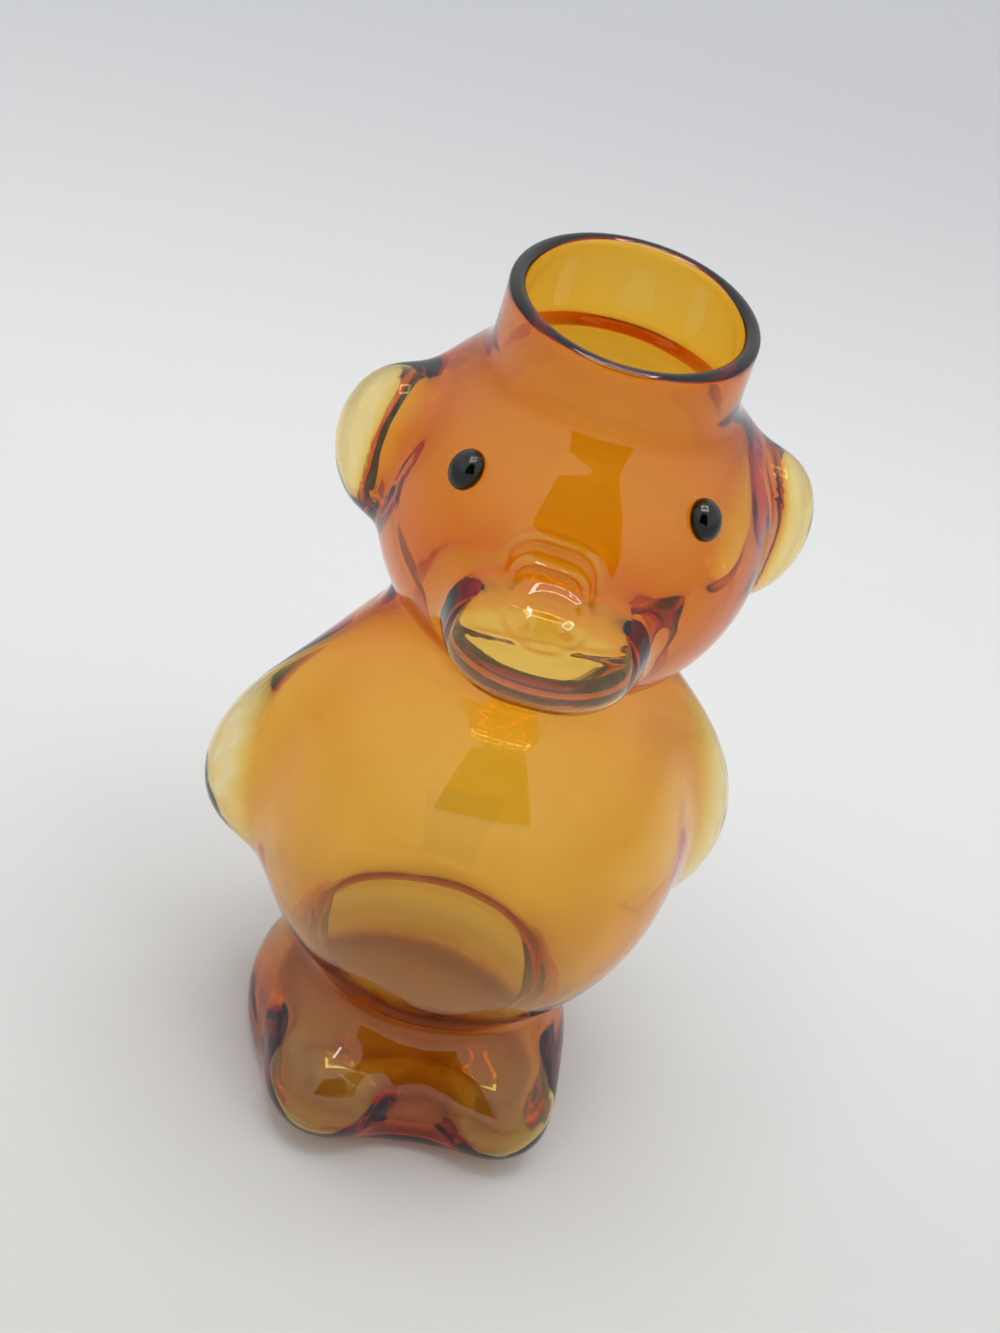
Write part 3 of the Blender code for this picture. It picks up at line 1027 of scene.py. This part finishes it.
@dataclass
class Studio:
    """The white tent, the floor and the camera, in metres and degrees.

    Attributes:
        sensor: The camera sensor's long side, in millimetres.
        focal: The lens's focal length, in millimetres.
        nearest: How near the lens things still show.
        pitch: How far the camera looks down.
        azimuth: How far it stands round from the front towards +X.
        roll: How far it's rolled clockwise.
        reach: From the lens to the middle of the rim.
        picture: The picture's width and height, in pixels.
        rim_pixel: Where the middle of the rim is in the picture, in pixels across and down.
        card_sides: How far the dark card reaches towards -X and +X, seen from the glass.
        card_heights: The heights of its lower and upper edges.
        card_distance: How far in front of the glass it hangs.
        card_shade: How pale it is, from 0 to 1.
        matt: The roughness of paper and card.
        floor_half: Half the floor's width.
        floor_drop: How far the floor is below the glass.
        painted_paper_shades: The floor's colours near the lens, below the glass and far behind; the
            darker ones near the lens and far behind are painted shade where the tent's light falls
            off.
        fades: The Y of the first and the last of those colours.
        brightest: Where between them the middle colour is, as a share.
        lamp_corners: X and Y of two opposite corners of the rectangle of lamps.
        lamp_height: How high the lamps hang.
        lamp_width: How wide their strips are.
        lamp_strength: How bright they are.
        glow_height: The sine of the elevation from which the tent is brightest.
        glows: How bright the tent is at the horizon and from there on.
        bounces: How often light may go through glass.
        mirror_bounces: How often it may bounce off it.
    """

    sensor: float = 36.0
    focal: float = 72.92
    nearest: float = 0.01
    pitch: float = 38.74
    azimuth: float = -13.3
    roll: float = 17.96
    reach: float = 0.48014
    picture: tuple = (1000, 1333)
    rim_pixel: tuple = (637.85, 302.36)
    card_sides: tuple = (-32.0, 20.0)
    card_heights: tuple = (0.250, 0.705)
    card_distance: float = 0.400
    card_shade: float = 0.02
    matt: float = 0.9
    floor_half: float = 3.0
    floor_drop: float = 0.0003
    # Painted shade: the darker colours near the lens and far behind stand for the tent's light
    # falling off, not for the paper's own tone.
    painted_paper_shades: tuple = ((0.53, 0.53, 0.52), (0.63, 0.64, 0.64), (0.49, 0.50, 0.52))
    fades: tuple = (-0.16, 0.52)
    brightest: float = 0.45
    lamp_corners: tuple = ((-0.24, -0.24), (0.20, 0.07))
    lamp_height: float = 0.80
    lamp_width: float = 0.050
    lamp_strength: float = 14.0
    glow_height: float = 0.45
    glows: tuple = (0.66, 1.05)
    bounces: int = 32
    mirror_bounces: int = 12

    def camera(self, rim: np.ndarray) -> None:
        """Places the camera so that the middle of the rim falls on its pixel.

        Args:
            rim: The middle of the rim, in metres.
        """
        around, down, over = np.radians((self.azimuth, self.pitch, self.roll))
        back = np.array(
            (np.sin(around) * np.cos(down), -np.cos(around) * np.cos(down), np.sin(down))
        )
        level = np.array((np.cos(around), np.sin(around), 0))
        rise = np.cross(back, level)
        right = level * np.cos(over) + rise * np.sin(over)
        up = rise * np.cos(over) - level * np.sin(over)
        scale = self.focal / self.sensor * max(self.picture)
        across = (self.rim_pixel[0] - self.picture[0] / 2) / scale
        below = (self.rim_pixel[1] - self.picture[1] / 2) / scale
        ray = right * across - up * below - back
        place = rim - self.reach * ray / np.linalg.norm(ray)
        data = bpy.data.cameras.new("camera")
        data.sensor_width = self.sensor
        data.lens = self.focal
        data.clip_start = self.nearest
        made = bpy.data.objects.new("camera", data)
        bpy.context.scene.collection.objects.link(made)
        axes = Matrix(np.stack((right, up, back), -1).tolist())
        made.matrix_world = Matrix.Translation(place) @ axes.to_4x4()
        bpy.context.scene.camera = made

    def floor(self) -> None:
        """Lays the pale floor, with painted shade making it a little darker near the lens and far
        behind, where the tent's light falls off.
        """
        paint, shader = new_paint("floor_paper_painted_shade")
        tree = paint.node_tree
        shader.inputs["Roughness"].default_value = self.matt
        place = tree.nodes.new("ShaderNodeTexCoord")
        parts = tree.nodes.new("ShaderNodeSeparateXYZ")
        depth = tree.nodes.new("ShaderNodeMapRange")
        depth.inputs["From Min"].default_value, depth.inputs["From Max"].default_value = self.fades
        # The ramp paints shade into the paper's colour: darker near the lens and far behind, where
        # the tent's light falls off.
        shade = tree.nodes.new("ShaderNodeValToRGB")
        shade.color_ramp.interpolation = "EASE"
        shade.color_ramp.elements.new(self.brightest)
        for element, colour in zip(shade.color_ramp.elements, self.painted_paper_shades):
            element.color = (*colour, 1)
        tree.links.new(place.outputs["Object"], parts.inputs["Vector"])
        tree.links.new(parts.outputs["Y"], depth.inputs["Value"])
        tree.links.new(depth.outputs["Result"], shade.inputs["Fac"])
        tree.links.new(shade.outputs["Color"], shader.inputs["Base Color"])
        half = self.floor_half
        corners = [
            (x * half, y * half, -self.floor_drop) for x, y in ((-1, -1), (1, -1), (1, 1), (-1, 1))
        ]
        sheet = new_sheet("floor", corners, paint)

    def card(self) -> None:
        """Hangs the dark opening that the lens looks in through, unseen by the lens."""
        paint, shader = new_paint("dark_card")
        shader.inputs["Base Color"].default_value = (*[self.card_shade] * 3, 1)
        shader.inputs["Roughness"].default_value = self.matt
        left, right = np.radians(self.card_sides)
        low, high = self.card_heights
        far = self.card_distance
        corners = [
            (np.tan(angle) * far, -far, height)
            for angle, height in ((left, low), (right, low), (right, high), (left, high))
        ]
        sheet = new_sheet("card", corners, paint)
        sheet.visible_camera = False
        sheet.visible_shadow = False

    def lamps(self) -> None:
        """Hangs four lit strips in a rectangle above the glass, unseen by the lens."""
        paint, shader = new_paint("lit_strip")
        shader.inputs["Base Color"].default_value = (0, 0, 0, 1)
        shader.inputs["Emission Color"].default_value = (1, 1, 1, 1)
        shader.inputs["Emission Strength"].default_value = self.lamp_strength
        (left, front), (right, back) = self.lamp_corners
        wide = self.lamp_width
        strips = (
            (left, front, right, front + wide),
            (left, back - wide, right, back),
            (left, front, left + wide, back),
            (right - wide, front, right, back),
        )
        corners = [
            (x, y, self.lamp_height)
            for west, south, east, north in strips
            for x, y in ((west, south), (west, north), (east, north), (east, south))
        ]
        sheet = new_sheet("lamps", corners, paint)
        sheet.visible_camera = False

    def light(self) -> None:
        """Fills the tent with plain white light that fades towards the floor's far edge."""
        world = bpy.data.worlds.new("tent")
        bpy.context.scene.world = world
        world.use_nodes = True
        tree = world.node_tree
        background = tree.nodes["Background"]
        background.inputs["Color"].default_value = (1, 1, 1, 1)
        way = tree.nodes.new("ShaderNodeTexCoord")
        parts = tree.nodes.new("ShaderNodeSeparateXYZ")
        glow = tree.nodes.new("ShaderNodeMapRange")
        glow.interpolation_type = "SMOOTHSTEP"
        glow.inputs["From Max"].default_value = self.glow_height
        glow.inputs["To Min"].default_value, glow.inputs["To Max"].default_value = self.glows
        tree.links.new(way.outputs["Generated"], parts.inputs["Vector"])
        tree.links.new(parts.outputs["Z"], glow.inputs["Value"])
        tree.links.new(glow.outputs["Result"], background.inputs["Strength"])

    def paths(self) -> None:
        """Lets light go through all the walls, and keeps the colours as they are."""
        scene = bpy.context.scene
        scene.view_settings.view_transform = "Standard"
        scene.cycles.max_bounces = self.bounces
        scene.cycles.transmission_bounces = self.bounces
        scene.cycles.glossy_bounces = self.mirror_bounces


def main() -> None:
    """Builds every piece, dresses it and lights it."""
    logging.basicConfig(level=logging.INFO, format="%(name)s: %(message)s")
    amber = AMBER.material()
    smoke = SMOKE.material()
    vessel = BearVessel()
    body = vessel.build(amber)
    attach(body, "root")
    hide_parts("glass_body")
    log.info("%s: %d faces", body.name, len(body.data.polygons))
    eyes = (
        EyeBead(vessel, Side.RIGHT, "right_eye", out=0.0212, rise=0.0181),
        EyeBead(vessel, Side.LEFT, "left_eye", out=0.0210, rise=0.0204),
    )
    for eye in eyes:
        bead = eye.build(smoke)
        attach(bead, "root")
        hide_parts(eye.node)
        log.info("%s: %d faces", bead.name, len(bead.data.polygons))
    studio = Studio()
    studio.floor()
    studio.card()
    studio.lamps()
    studio.light()
    studio.camera(UP * vessel.top)
    studio.paths()


if __name__ == "__main__":
    main()
